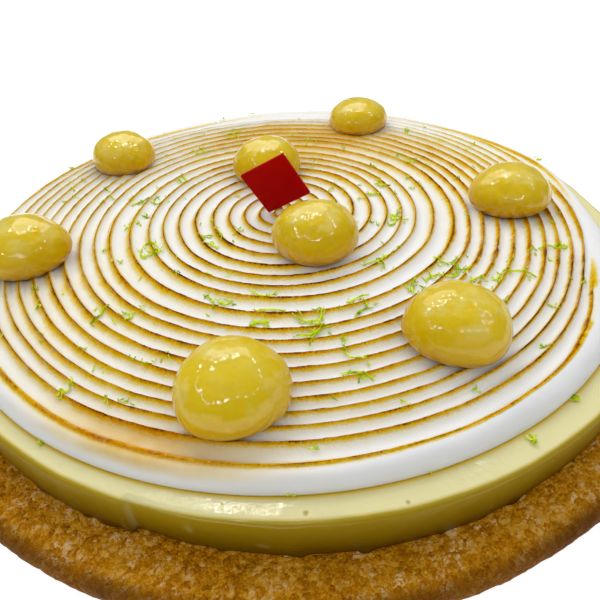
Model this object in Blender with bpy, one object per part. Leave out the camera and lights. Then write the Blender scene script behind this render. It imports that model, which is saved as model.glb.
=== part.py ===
"""A round lemon tart, built in layers like the real one.

A flat shortbread crust carries a disc of lemon cream. On the cream lies a torched meringue top,
combed into a two-armed spiral of sharp ridges. Eight drops of lemon curd and a small bare red
plaque sit in the ridges, and shreds of lime zest lie across them.

Metres, +Z up. The origin is the centre of the crust's underside, and -Y is the front.
"""
import math
import random

import bmesh
import bpy
from mathutils import Matrix, Vector, noise

# Driving dimensions
GAP = 0.0003
FULL_TURN = 2 * math.pi
# The upper layers are smaller round the back; the sine of the angle where that starts and is complete
BACK_STARTS_AT = -0.6
BACK_COMPLETE_AT = 0.1

CRUST_RADIUS = 0.120
CRUST_HEIGHT = 0.0063
CRUST_EDGE_ROUNDING = 0.0022
CRUST_UNEVENNESS = 0.0006
CRUST_SPOKES = 72

CREAM_CENTRE = Vector((0.0012, 0.0004))
CREAM_RADIUS = 0.1092
CREAM_HEIGHT = 0.0118
CREAM_SHOULDER = 0.0022
CREAM_UNEVENNESS = 0.0003
CREAM_BACK_DRAWN_IN = 0.0055
CREAM_SPOKES = 72

MERINGUE_CENTRE = Vector((-0.0009, 0.0005))
MERINGUE_RADIUS = 0.1031
MERINGUE_BACK_DRAWN_IN = 0.0060
SPIRAL_CENTRE = Vector((-0.0026, -0.0016))
RIM_RADIUS = 0.096
RIM_BACK_DRAWN_IN = 0.0015
RIM_FLAT = 0.0055
RIM_FLAT_ANGLE = math.radians(118)
RIDGE_PITCH = 0.00504
RIDGE_DEPTH = 0.0022
RIDGE_RISE = 0.0050
ARMS = 2
SPIRAL_PHASE = 0.5
ROWS_PER_RIDGE = 3
MERINGUE_SPOKES = 54
CENTRE_RING_RADIUS = 0.0016
CENTRE_RING_DIP = 0.0009
WALL_STEPS = 4
WALL_DROP = 0.0047
WALL_UNDERCUT = 0.0003

DROP_SINK = 0.0020
DROP_SPOKES = 14
DROP_RINGS = 4
DROP_BASE_SHARE = 0.60
DROP_WIDEST_AT = 0.31
POCKET_CLEARANCE = 0.0004
# Each drop's place from the tart's centre, its width and its height, in millimetres
DROPS = (
    (-13.6, -82.1, 24.6, 14.6),
    (38.3, -65.9, 24.6, 14.2),
    (-79.9, -23.5, 25.8, 14.2),
    (-65.7, 42.3, 24.7, 13.4),
    (-8.2, 27.4, 26.0, 14.2),
    (31.2, 71.2, 26.0, 12.4),
    (72.2, -3.2, 25.6, 13.6),
    (7.1, -24.0, 25.4, 15.0),
)

PLAQUE_SIDE = 0.0164
PLAQUE_THICKNESS = 0.0012
PLAQUE_FOOT = Vector((-0.0075, -0.0005))
PLAQUE_SINK = 0.0019
PLAQUE_LEAN = math.radians(7)
PLAQUE_YAW = math.radians(-6)
PLAQUE_ROLL = math.radians(16)

SHRED_WIDTH = 0.0009
SHRED_THICKNESS = 0.0007
SHRED_LENGTHS = (0.0050, 0.0085)
SHRED_STEPS = 2
SHRED_LIFT = 0.0002
SHRED_CLEARANCE = 0.0020
SHRED_SEED = 11
CLUSTER_SPREAD = 0.0042
# Each cluster of shreds: its angle in degrees and radius in millimetres round the spiral, and its count
CLUSTERS = (
    (323, 63, 4), (266, 49, 4), (207, 42, 3), (279, 57, 4), (213, 29, 3), (201, 64, 3),
    (311, 57, 3), (230, 69, 2), (239, 93, 2), (350, 38, 3), (248, 53, 2), (148, 46, 2),
    (166, 53, 2), (281, 76, 2), (290, 50, 2), (327, 73, 2), (312, 38, 2), (20, 38, 2),
    (340, 84, 2), (104, 74, 2), (80, 58, 2), (52, 84, 2), (40, 60, 2), (125, 62, 2),
)

# Heights that follow from the dimensions above
CREAM_BOTTOM = CRUST_HEIGHT + GAP
CREAM_TOP = CREAM_BOTTOM + CREAM_HEIGHT
MERINGUE_BOTTOM = CREAM_TOP + GAP
CREST_HEIGHT = MERINGUE_BOTTOM + RIDGE_RISE


def clear_scene():
    """Remove every object that is in the scene."""
    for old in list(bpy.data.objects):
        bpy.data.objects.remove(old, do_unlink=True)


def make_material(name, colour, roughness):
    """A Principled material with one colour and roughness."""
    material = bpy.data.materials.new(name)
    material.use_nodes = True
    shader = material.node_tree.nodes["Principled BSDF"]
    shader.inputs["Base Color"].default_value = (*colour, 1.0)
    shader.inputs["Roughness"].default_value = roughness
    shader.inputs["Metallic"].default_value = 0.0
    material.diffuse_color = (*colour, 1.0)
    return material


def make_object(name, vertices, faces, material=None, smooth_angle=35):
    """A named object from a list of vertices and faces, with its faces turned outwards."""
    mesh = bpy.data.meshes.new(name)
    mesh.from_pydata(vertices, [], faces)
    shape = bmesh.new()
    shape.from_mesh(mesh)
    bmesh.ops.recalc_face_normals(shape, faces=shape.faces)
    shape.to_mesh(mesh)
    shape.free()
    mesh.shade_smooth()
    mesh.set_sharp_from_angle(angle=math.radians(smooth_angle))
    made = bpy.data.objects.new(name, mesh)
    bpy.context.collection.objects.link(made)
    if material:
        mesh.materials.append(material)
    return made


def lathe(name, rings, spokes, material=None):
    """A closed round solid. Each ring is a function from an angle to a point, bottom to top.

    The first and the last ring close on a point in their middle.
    """
    vertices = []
    for ring in rings:
        for step in range(spokes):
            vertices.append(ring(FULL_TURN * step / spokes))
    faces = []
    for level in range(len(rings) - 1):
        for step in range(spokes):
            here = level * spokes + step
            beside = level * spokes + (step + 1) % spokes
            faces.append((here, beside, beside + spokes, here + spokes))
    last = (len(rings) - 1) * spokes
    for start, flip in ((0, True), (last, False)):
        circle = vertices[start:start + spokes]
        middle = sum((Vector(point) for point in circle), Vector()) / spokes
        vertices.append(tuple(middle))
        for step in range(spokes):
            edge = (start + step, start + (step + 1) % spokes)
            faces.append((edge[1], edge[0], len(vertices) - 1) if flip else (*edge, len(vertices) - 1))
    return make_object(name, vertices, faces, material)


def apply_boolean(target, cutters, operation):
    """Join the cutters to the target or cut them from it, then remove them."""
    tools = bpy.data.collections.new("tools")
    bpy.context.scene.collection.children.link(tools)
    for cutter in cutters:
        bpy.context.collection.objects.unlink(cutter)
        tools.objects.link(cutter)
    change = target.modifiers.new(operation.title(), 'BOOLEAN')
    change.operation = operation
    change.operand_type = 'COLLECTION'
    change.collection = tools
    change.solver = 'EXACT'
    evaluated = target.evaluated_get(bpy.context.evaluated_depsgraph_get())
    result = bpy.data.meshes.new_from_object(evaluated)
    target.modifiers.clear()
    target.data = result
    for cutter in cutters:
        bpy.data.objects.remove(cutter, do_unlink=True)
    bpy.data.collections.remove(tools)


def wobble(angle, size, waves, seed):
    """A smooth closed unevenness round a circle, at most about the given size."""
    place = Vector((math.cos(angle), math.sin(angle), 0.0)) * waves + Vector((0.0, 0.0, seed))
    return size * noise.noise(place)


def back_share(angle):
    """How much of the back's drawing in applies here: 0 along the front, 1 round the back."""
    share = (math.sin(angle) - BACK_STARTS_AT) / (BACK_COMPLETE_AT - BACK_STARTS_AT)
    share = min(max(share, 0.0), 1.0)
    return share * share * (3 - 2 * share)


def round_ring(centre, radius, height, unevenness, waves, seed, back_drawn_in=0.0):
    """A ring for lathe whose radius wobbles a little and may be smaller at the back."""
    def point(angle):
        reach = radius + wobble(angle, unevenness, waves, seed) - back_drawn_in * back_share(angle)
        return (centre.x + reach * math.cos(angle), centre.y + reach * math.sin(angle), height)
    return point


def build_crust(material):
    """The flat shortbread round, with a rounded and slightly uneven edge."""
    middle = Vector((0.0, 0.0))
    edge = CRUST_EDGE_ROUNDING
    outline = (
        (CRUST_RADIUS - edge, 0.0),
        (CRUST_RADIUS - 0.3 * edge, 0.35 * edge),
        (CRUST_RADIUS, 0.5 * CRUST_HEIGHT),
        (CRUST_RADIUS - 0.3 * edge, CRUST_HEIGHT - 0.4 * edge),
        (CRUST_RADIUS - 1.3 * edge, CRUST_HEIGHT),
    )
    rings = [round_ring(middle, radius, height, CRUST_UNEVENNESS, 9, 1.0) for radius, height in outline]
    return lathe("crust", rings, CRUST_SPOKES, material)


def build_cream(material):
    """The disc of lemon cream, with steep sides and a rounded top edge."""
    round_off = CREAM_SHOULDER
    outline = (
        (CREAM_RADIUS - 0.0004, CREAM_BOTTOM),
        (CREAM_RADIUS, CREAM_BOTTOM + 0.3 * CREAM_HEIGHT),
        (CREAM_RADIUS - 0.0003, CREAM_TOP - round_off),
        (CREAM_RADIUS - 0.35 * round_off, CREAM_TOP - 0.4 * round_off),
        (CREAM_RADIUS - 1.1 * round_off, CREAM_TOP),
    )
    rings = [round_ring(CREAM_CENTRE, radius, height, CREAM_UNEVENNESS, 4, 5.0, CREAM_BACK_DRAWN_IN)
             for radius, height in outline]
    return lathe("lemon_cream", rings, CREAM_SPOKES, material)


def ridge_radius(row, turn):
    """How far out a row of the spiral lies after this part of a turn."""
    return RIDGE_PITCH * (row / ROWS_PER_RIDGE + ARMS * turn + SPIRAL_PHASE)


def rim_radius(turn):
    """The rim's radius, which is flatter at the back left."""
    angle = FULL_TURN * turn
    flat = max(0.0, math.cos(angle - RIM_FLAT_ANGLE)) ** 4
    return RIM_RADIUS - RIM_BACK_DRAWN_IN * back_share(angle) - RIM_FLAT * flat


def spoke_rows(turn):
    """The meringue's top along one spoke: each row's key, its radius and its height.

    Rows between the ring at the centre and the rim follow the spiral: one on each crest and two
    on each groove's floor.
    """
    rim = rim_radius(turn)
    rows = [("centre", CENTRE_RING_RADIUS, CREST_HEIGHT - CENTRE_RING_DIP)]
    first = -ARMS * ROWS_PER_RIDGE
    last = math.ceil(RIM_RADIUS / RIDGE_PITCH * ROWS_PER_RIDGE)
    closest = RIDGE_PITCH / ROWS_PER_RIDGE
    for row in range(first, last):
        radius = ridge_radius(row, turn)
        if CENTRE_RING_RADIUS + 0.5 * closest < radius < rim - closest:
            on_crest = row % ROWS_PER_RIDGE == 0
            rows.append((row, radius, CREST_HEIGHT if on_crest else CREST_HEIGHT - RIDGE_DEPTH))
    rows.append(("rim", rim, CREST_HEIGHT))
    return rows


def wall_points(rim, foot):
    """The bulging outer wall on one spoke, from below the rim down to the cream."""
    points = []
    for step in range(1, WALL_STEPS + 1):
        angle = 0.5 * math.pi * step / WALL_STEPS
        height = CREST_HEIGHT - WALL_DROP * (1 - math.cos(angle))
        points.append((*rim.lerp(foot, math.sin(angle)), height))
    tucked = foot - (foot - rim).normalized() * WALL_UNDERCUT
    points.append((*tucked, MERINGUE_BOTTOM))
    return points


def stitch(faces, left, right):
    """Fill the strip between two spokes, given as (key, radius, vertex) from the centre out."""
    a = 0
    b = 0
    while a + 1 < len(left) or b + 1 < len(right):
        more_left = a + 1 < len(left)
        more_right = b + 1 < len(right)
        if more_left and more_right and left[a + 1][0] == right[b + 1][0]:
            faces.append((left[a][2], left[a + 1][2], right[b + 1][2], right[b][2]))
            a += 1
            b += 1
        elif more_left and (not more_right or left[a + 1][1] < right[b + 1][1]):
            faces.append((left[a][2], left[a + 1][2], right[b][2]))
            a += 1
        else:
            faces.append((left[a][2], right[b + 1][2], right[b][2]))
            b += 1


def build_meringue(material):
    """The torched top: spiral ridges inside a smooth bulging wall, flat underneath."""
    vertices = []
    spokes = []
    walls = []
    for step in range(MERINGUE_SPOKES):
        turn = step / MERINGUE_SPOKES
        direction = Vector((math.cos(FULL_TURN * turn), math.sin(FULL_TURN * turn)))
        spoke = []
        for key, radius, height in spoke_rows(turn):
            spoke.append((key, radius, len(vertices)))
            vertices.append((*(SPIRAL_CENTRE + direction * radius), height))
        spokes.append(spoke)
        rim = SPIRAL_CENTRE + direction * rim_radius(turn)
        foot_radius = MERINGUE_RADIUS - MERINGUE_BACK_DRAWN_IN * back_share(FULL_TURN * turn)
        foot = MERINGUE_CENTRE + direction * foot_radius
        wall = [spoke[-1][2]]
        for point in wall_points(rim, foot):
            wall.append(len(vertices))
            vertices.append(point)
        walls.append(wall)

    faces = []
    top_middle = len(vertices)
    vertices.append((*SPIRAL_CENTRE, CREST_HEIGHT))
    under_middle = len(vertices)
    vertices.append((*MERINGUE_CENTRE, MERINGUE_BOTTOM))
    for step in range(MERINGUE_SPOKES):
        left = spokes[step]
        right = spokes[(step + 1) % MERINGUE_SPOKES]
        if step + 1 == MERINGUE_SPOKES:
            shift = ARMS * ROWS_PER_RIDGE
            right = [(key - shift if isinstance(key, int) else key, radius, vertex)
                     for key, radius, vertex in right]
        stitch(faces, left, right)
        faces.append((top_middle, left[0][2], right[0][2]))
        wall = walls[step]
        beside = walls[(step + 1) % MERINGUE_SPOKES]
        for level in range(len(wall) - 1):
            faces.append((wall[level], wall[level + 1], beside[level + 1], beside[level]))
        faces.append((wall[-1], under_middle, beside[-1]))
    return make_object("meringue", vertices, faces, material, smooth_angle=60)


def build_drop(name, place, width, height, seed, grow=0.0, material=None):
    """One flattened drop of curd on a flat base, or, with grow, the pocket that it sits in."""
    half = 0.5 * width + grow
    bottom = CREST_HEIGHT - DROP_SINK - grow
    widest = bottom + DROP_WIDEST_AT * height + grow
    top = bottom + height + 2 * grow
    levels = [(DROP_BASE_SHARE * half, bottom)]
    for step in range(1, DROP_RINGS):
        angle = 0.5 * math.pi * step / DROP_RINGS
        reach = DROP_BASE_SHARE + (1 - DROP_BASE_SHARE) * math.sin(angle)
        levels.append((reach * half, widest - (widest - bottom) * math.cos(angle)))
    for step in range(DROP_RINGS):
        angle = 0.5 * math.pi * step / DROP_RINGS
        levels.append((half * math.cos(angle), widest + (top - widest) * math.sin(angle)))

    def ring(radius, level):
        def point(angle):
            reach = radius * (1 + 0.025 * math.sin(2 * angle + seed) + 0.02 * math.sin(3 * angle + 2.3 * seed))
            return (place.x + reach * math.cos(angle), place.y + reach * math.sin(angle), level)
        return point
    return lathe(name, [ring(radius, level) for radius, level in levels], DROP_SPOKES, material)


def build_drops(material):
    """The eight drops, each in its own object, and the pockets for them."""
    pockets = []
    for number, (x, y, width, height) in enumerate(DROPS, 1):
        place = Vector((x, y)) / 1000
        size = (width / 1000, height / 1000)
        build_drop(f"curd_drop_{number}", place, *size, number, 0.0, material)
        pockets.append(build_drop(f"pocket_{number}", place, *size, number, POCKET_CLEARANCE))
    return pockets


def build_plaque(name, grow=0.0, material=None):
    """The thin square plaque that stands on one corner, or, with grow, the slot that it stands in."""
    shape = bmesh.new()
    bmesh.ops.create_cube(shape, size=1.0)
    size = (PLAQUE_SIDE + 2 * grow, PLAQUE_THICKNESS + 2 * grow, PLAQUE_SIDE + 2 * grow)
    bmesh.ops.scale(shape, vec=size, verts=shape.verts)
    bmesh.ops.translate(shape, vec=(0.5 * PLAQUE_SIDE, 0.0, 0.5 * PLAQUE_SIDE), verts=shape.verts)
    stand_on_corner = Matrix.Rotation(math.radians(-45) + PLAQUE_ROLL, 4, 'Y')
    pose = (Matrix.Translation((*PLAQUE_FOOT, CREST_HEIGHT - PLAQUE_SINK))
            @ Matrix.Rotation(PLAQUE_YAW, 4, 'Z')
            @ Matrix.Rotation(PLAQUE_LEAN, 4, 'X')
            @ stand_on_corner)
    bmesh.ops.transform(shape, matrix=pose, verts=shape.verts)
    mesh = bpy.data.meshes.new(name)
    shape.to_mesh(mesh)
    shape.free()
    made = bpy.data.objects.new(name, mesh)
    bpy.context.collection.objects.link(made)
    if material:
        mesh.materials.append(material)
    return made


def nearest_crest(place):
    """The point of the spiral's crest that lies nearest on the same spoke."""
    offset = place - SPIRAL_CENTRE
    turn = (math.atan2(offset.y, offset.x) / FULL_TURN) % 1.0
    ridge = round(offset.length / RIDGE_PITCH - ARMS * turn - SPIRAL_PHASE)
    radius = ridge_radius(ridge * ROWS_PER_RIDGE, turn)
    return SPIRAL_CENTRE + offset.normalized() * radius


def is_clear(place, reach):
    """Whether a shred of this reach stays clear of the drops, the plaque and the rim."""
    for x, y, width, _ in DROPS:
        if (place - Vector((x, y)) / 1000).length < 0.5 * width / 1000 + reach + SHRED_CLEARANCE:
            return False
    if (place - PLAQUE_FOOT).length < 0.5 * PLAQUE_SIDE + reach:
        return False
    return (place - SPIRAL_CENTRE).length < RIM_RADIUS - SHRED_CLEARANCE


def build_shred(name, place, heading, length, bend):
    """One curved strip of zest with a square section, lying across a crest."""
    vertices = []
    centre_height = CREST_HEIGHT + SHRED_LIFT
    for step in range(SHRED_STEPS + 1):
        share = step / SHRED_STEPS - 0.5
        along = Vector((math.cos(heading + bend * share), math.sin(heading + bend * share)))
        point = place + along * length * share
        side = Vector((-along.y, along.x)) * 0.5 * SHRED_WIDTH
        for across, up in ((-1, -1), (1, -1), (1, 1), (-1, 1)):
            height = centre_height + 0.5 * SHRED_THICKNESS * up
            vertices.append((*(point + side * across), height))
    faces = [(0, 1, 2, 3), tuple(4 * SHRED_STEPS + corner for corner in (3, 2, 1, 0))]
    for step in range(SHRED_STEPS):
        for corner in range(4):
            here = 4 * step + corner
            beside = 4 * step + (corner + 1) % 4
            faces.append((here, here + 4, beside + 4, beside))
    return make_object(name, vertices, faces)


def build_shreds():
    """The shreds of every cluster, each on a crest and clear of the drops."""
    draw = random.Random(SHRED_SEED)
    shreds = []
    placed = []
    for angle, radius, count in CLUSTERS:
        turn = math.radians(angle)
        middle = SPIRAL_CENTRE + Vector((math.cos(turn), math.sin(turn))) * radius / 1000
        for _ in range(count):
            spread = Vector((draw.uniform(-1, 1), draw.uniform(-1, 1))) * CLUSTER_SPREAD
            heading = draw.uniform(0, FULL_TURN)
            length = draw.uniform(*SHRED_LENGTHS)
            bend = draw.uniform(0.5, 1.6)
            place = nearest_crest(middle + spread)
            apart = all((place - other).length > 0.5 * SHRED_WIDTH for other in placed)
            if apart and is_clear(place, 0.5 * length):
                placed.append(place)
                shreds.append(build_shred(f"shred_{len(shreds)}", place, heading, length, bend))
    return shreds


def main():
    clear_scene()
    build_crust(make_material("shortbread", (0.36, 0.17, 0.04), 0.85))
    build_cream(make_material("lemon_cream", (0.62, 0.52, 0.16), 0.35))
    meringue = build_meringue(make_material("torched_meringue", (0.85, 0.80, 0.70), 0.40))
    pockets = build_drops(make_material("lemon_curd", (0.70, 0.48, 0.02), 0.15))
    build_plaque("plaque", 0.0, make_material("red_plaque", (0.45, 0.01, 0.01), 0.45))
    pockets.append(build_plaque("plaque_slot", POCKET_CLEARANCE))
    apply_boolean(meringue, pockets, 'DIFFERENCE')
    apply_boolean(meringue, build_shreds(), 'UNION')


main()
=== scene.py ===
import functools
import itertools
import math
import random

import bmesh
import bpy
import numpy as np
from mathutils import Matrix, Vector


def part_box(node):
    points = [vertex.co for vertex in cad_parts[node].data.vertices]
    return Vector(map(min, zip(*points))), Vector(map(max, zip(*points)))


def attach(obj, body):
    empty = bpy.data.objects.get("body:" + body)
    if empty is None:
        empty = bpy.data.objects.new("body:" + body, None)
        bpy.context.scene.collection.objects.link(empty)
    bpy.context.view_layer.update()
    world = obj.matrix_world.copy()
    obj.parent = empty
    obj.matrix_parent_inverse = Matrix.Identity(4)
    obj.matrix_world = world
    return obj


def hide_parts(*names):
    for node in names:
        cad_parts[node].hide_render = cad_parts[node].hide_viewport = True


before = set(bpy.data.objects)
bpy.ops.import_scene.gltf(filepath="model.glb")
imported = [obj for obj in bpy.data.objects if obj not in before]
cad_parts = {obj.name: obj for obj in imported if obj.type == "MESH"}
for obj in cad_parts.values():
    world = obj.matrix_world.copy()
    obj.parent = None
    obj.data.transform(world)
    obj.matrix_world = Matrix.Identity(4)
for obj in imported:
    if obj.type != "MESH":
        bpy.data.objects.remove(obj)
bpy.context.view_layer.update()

FULL_TURN = 2 * math.pi

# Heights that the frame gives, in metres
CRUST_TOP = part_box("crust")[1].z
CREAM_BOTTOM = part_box("lemon_cream")[0].z
CREAM_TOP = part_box("lemon_cream")[1].z
GAP = CREAM_BOTTOM - CRUST_TOP

# The solids' own dimensions
CRUST_RADIUS = 0.120
CREAM_CENTRE = np.array((0.0012, 0.0004))
CREAM_RADIUS = 0.1092
CREAM_BACK_DRAWN_IN = 0.0055
MERINGUE_CENTRE = np.array((-0.0009, 0.0005))
MERINGUE_RADIUS = 0.1031
MERINGUE_BACK_DRAWN_IN = 0.0060
BACK_STARTS_AT = -0.6
BACK_COMPLETE_AT = 0.1
SPIRAL_CENTRE = np.array((-0.0026, -0.0016))
RIM_RADIUS = 0.096
RIM_BACK_DRAWN_IN = 0.0015
RIM_FLAT = 0.0055
RIM_FLAT_ANGLE = math.radians(118)
RIDGE_PITCH = 0.00504
RIDGE_DEPTH = 0.0022
RIDGE_RISE = 0.0050
ARMS = 2
SPIRAL_PHASE = 0.5
CREST_HEIGHT = CREAM_TOP + GAP + RIDGE_RISE
DROP_SINK = 0.0020
DROP_BASE_SHARE = 0.60
DROP_WIDEST_AT = 0.31
# Each drop's place, width and height in millimetres, as in the solids
DROPS = (
    (-13.6, -82.1, 24.6, 14.6),
    (38.3, -65.9, 24.6, 14.2),
    (-79.9, -23.5, 25.8, 14.2),
    (-65.7, 42.3, 24.7, 13.4),
    (-8.2, 27.4, 26.0, 14.2),
    (31.2, 71.2, 26.0, 12.4),
    (72.2, -3.2, 25.6, 13.6),
    (7.1, -24.0, 25.4, 15.0),
)
PLAQUE_SIDE = 0.0164
PLAQUE_THICKNESS = 0.0012
PLAQUE_FOOT = (-0.0075, -0.0005)
PLAQUE_SINK = 0.0019
PLAQUE_LEAN = math.radians(7)
PLAQUE_YAW = math.radians(-6)
PLAQUE_ROLL = math.radians(16)
SHRED_SEED = 11
SHRED_LENGTHS = (0.0050, 0.0085)
SHRED_WIDTH = 0.0009
SHRED_CLEARANCE = 0.0020
CLUSTER_SPREAD = 0.0042
# Each cluster's angle in degrees, radius in millimetres and shreds, as in the solids
CLUSTERS = (
    (323, 63, 4), (266, 49, 4), (207, 42, 3), (279, 57, 4), (213, 29, 3), (201, 64, 3),
    (311, 57, 3), (230, 69, 2), (239, 93, 2), (350, 38, 3), (248, 53, 2), (148, 46, 2),
    (166, 53, 2), (281, 76, 2), (290, 50, 2), (327, 73, 2), (312, 38, 2), (20, 38, 2),
    (340, 84, 2), (104, 74, 2), (80, 58, 2), (52, 84, 2), (40, 60, 2), (125, 62, 2),
)

# The finer zest of the visual: curls round each shred, a scatter, and tufts that fell on the cream's
# ledge, each with its angle, radius in millimetres and curls
ZEST_SEED = 5
SHRED_POINTS = 10
CURL_POINTS = 9
CURLS_PER_SHRED = 5
CURL_LENGTHS = (0.0009, 0.0030)
CURL_BEND = 3.2
CURL_THICKNESS = 0.00016
CURL_SPREAD = 0.0008
SCATTERED_SHREDS = 150
SCATTER_RADIUS = 0.098
LEDGE_TUFTS = (
    (268.8, 101.6, 5), (297.1, 104.0, 7), (284.5, 102.3, 4), (306.2, 102.8, 8), (322.0, 103.0, 7),
    (238.0, 104.0, 2), (20.0, 105.5, 6), (162.0, 101.5, 5), (111.0, 101.2, 4),
)

# Where the comb strayed from the true spiral, in millimetres outwards at each radius: two wider rings
# inside, closer ones near the rim, and a pinch at the front right, where one arm joins the next
COMB_DRIFT = (
    (12, 0.3), (22, 0.8), (29, 1.8), (36, 1.9), (44, 1.1), (54.5, 3.6),
    (60, 2.6), (75, 1.1), (82, 0.0), (95, -3.8), (103, -4.0),
)
# The pinch and what strays at the edge: angle and reach to both sides in degrees, and how far
PINCH = (335, 18, 0.0040)
PINCH_FROM = 0.094
PINCH_TO = 0.1035
ARM_FADES_FROM = 0.1022
ARM_FADES_TO = 0.1029
EDGE_OUT = (285, 60, 0.0018)
EDGE_DIP = (336, 14, 0.0020)
EDGE_LOBE = (16, 17, 0.0040)
SHOULDER_DROP = 0.0013
SHOULDER_REACH = 0.0009

# The smooth band that the comb left round the back: angle and reach, the radii where it starts, depth
BAND = (84, 46)
BAND_START = (0.0825, 0.0860)
BAND_DEPTH = 0.0008

# The crust's and the cream's edges
FINE_STEP = 0.00045
CRUST_EDGE = 0.0024
CRUST_EDGE_STEPS = 16
CRUST_TOP_STEPS = 37
CREAM_SIDE_IN = 0.0004
CREAM_EDGE_DROP = 0.0013
CREAM_EDGE_WIDTH = 0.0018
CREAM_SIDE_STEPS = 20
CREAM_EDGE_STEPS = 12
CREAM_LEDGE_STEPS = 21
CREASE_ANGLE = 250.5
CREASE_LENGTH = 24
CREASE_DEPTH = 0.0012
# The painted highlight on the crease, and where the ledge is wettest: angle, reach and strength
CREASE_HIGHLIGHT = (250.9, 0.22, 1.0)
WET_PLACES = ((263, 8, 1.0), (288, 5, 0.4))
# Bubble holes in the cream: angle, radius, height and half width
CREAM_PITS = (
    (270.40, 0.10606, 0.01805, 0.00062), (280.76, 0.10673, 0.01798, 0.00050),
    (286.03, 0.10873, 0.01529, 0.00022), (279.64, 0.10837, 0.01711, 0.00025),
    (261.70, 0.10459, 0.01809, 0.00030),
)

# How fine the meshes are
TOP_SPOKES = 720
TOP_ROWS_PER_RIDGE = 10
TOP_CROWDING = 0.75
RIDGES = 21
RIM_ROWS = (0.00165, 0.0011, 0.0007, 0.0004, 0.00018)
WALL_ROWS = 22
CRUST_SPOKES = 900
CREAM_SPOKES = 900
DROP_SPOKES = 112
DROP_RINGS = 60

# The torch's flame came from the front left. The toast fades away from a crest in these steps of its
# spread, quicker on the crest's inner side
FLAME_FROM = math.radians(222)
LEE_SPREAD = 0.00030
FLAME_SPREAD = 0.00094
INNER_SHARE = 0.85
OUTER_FADE = ((0.0, 0.25, 0.50, 0.80, 1.15, 1.8, 4.0), (1.0, 0.72, 0.42, 0.26, 0.15, 0.08, 0.0))
INNER_FADE = ((0.0, 0.20, 0.42, 0.75, 1.15, 1.8, 4.0), (1.0, 0.70, 0.40, 0.25, 0.15, 0.08, 0.0))
FOOT_TOAST = 0.45

# Linear colours, those in a ramp each with its place
TOAST_RAMP = (
    (0.0, (0.86, 0.865, 0.865)), (0.08, (0.86, 0.83, 0.72)), (0.18, (0.86, 0.7, 0.3)),
    (0.32, (0.9, 0.64, 0.03)), (0.48, (0.9, 0.53, 0.0)), (0.66, (0.84, 0.38, 0.0)),
    (0.82, (0.58, 0.2, 0.0)), (0.92, (0.3, 0.084, 0.0)), (1.0, (0.11, 0.029, 0.0)),
)
BLUSH_RAMP = ((0.0, (1.0, 1.0, 1.0)), (0.4, (0.96, 0.84, 0.58)), (1.0, (0.86, 0.6, 0.22)))
# The cream's ramp paints light and shade: painted light makes the ledge pale, painted shade darkens the side
# towards the foot
CREAM_LIGHT_AND_SHADE_RAMP = (
    (0.05, (0.82, 0.76, 0.4)), (0.12, (0.72, 0.61, 0.2)), (0.18, (0.46, 0.33, 0.02)),
    (0.3, (0.37, 0.24, 0.002)), (0.55, (0.26, 0.155, 0.0)), (0.85, (0.17, 0.09, 0.0)),
    (1.0, (0.12, 0.06, 0.0)),
)
# Pale scuffs on the cream's side, and the painted highlight on the crease
SCUFF_AND_HIGHLIGHT_COLOUR = (0.62, 0.52, 0.2)
SEAM_COLOUR = (0.8, 0.56, 0.016)
# Painted shade inside the bubble holes
BUBBLE_SHADE_COLOUR = (0.42, 0.265, 0.0)
CRUST_RAMP = (
    (0.28, (0.35, 0.115, 0.0)), (0.4, (0.52, 0.188, 0.0)), (0.5, (0.65, 0.262, 0.001)),
    (0.6, (0.76, 0.35, 0.013)), (0.7, (0.84, 0.47, 0.085)),
)
SPECK_COLOUR = (0.92, 0.62, 0.27)
PIT_COLOUR = (0.12, 0.04, 0.0)
BAKED_EDGE_COLOUR = (0.15, 0.046, 0.002)
CURD_RAMP = (
    (0.0, (0.5, 0.245, 0.0)), (0.25, (0.68, 0.395, 0.0)), (0.55, (0.76, 0.51, 0.0)),
    (0.85, (0.79, 0.57, 0.01)), (1.0, (0.79, 0.6, 0.05)),
)
# Pale patches of painted reflection on the drops' tops
REFLECTION_PATCH_COLOUR = (0.84, 0.7, 0.2)
YOLK_COLOUR = (0.86, 0.52, 0.0)
RED_RAMP = ((0.3, (0.41, 0.0, 0.0)), (0.7, (0.49, 0.001, 0.0)))
ZEST_RAMP = (
    (0.3, (0.2, 0.33, 0.0)), (0.4, (0.5, 0.66, 0.0)), (0.52, (0.78, 0.92, 0.008)),
    (0.68, (0.92, 0.97, 0.2)),
)

# The world's strength at the horizon, overhead, in reflections and behind the tart
HORIZON_GLOW = 0.04
OVERHEAD_GLOW = 0.60
MIRRORED_GLOW = 0.12
SEEN_GLOW = 1.0
# Two lights, each with its place, target, width and length and watts, and a ring of small lamps
SOFTBOX = ((-0.08, 0.42, 0.46), (0.0, 0.0, 0.0), (0.60, 0.36), 1.45)
STRIP = ((-0.08, 0.150, 0.46), (0.0, -0.05, 0.0), (0.17, 0.014), 0.16)
LAMPS = 28
LAMP_RING = (0.42, 0.34)
LAMP_RING_SHIFT = -0.12
LAMP_HEIGHT = 0.42
LAMP_SIZE = (0.034, 0.014)
LAMP_POWER = 0.041

# The photograph's camera
PHOTO_WIDTH = 600
FOCAL_PIXELS = 509.7
SENSOR_WIDTH = 36.0
CAMERA_PLACE = (0.00157, -0.15364, 0.10888)
CAMERA_LOOKS_DOWN = 39.574
CAMERA_ROLL = -2.801


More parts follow.
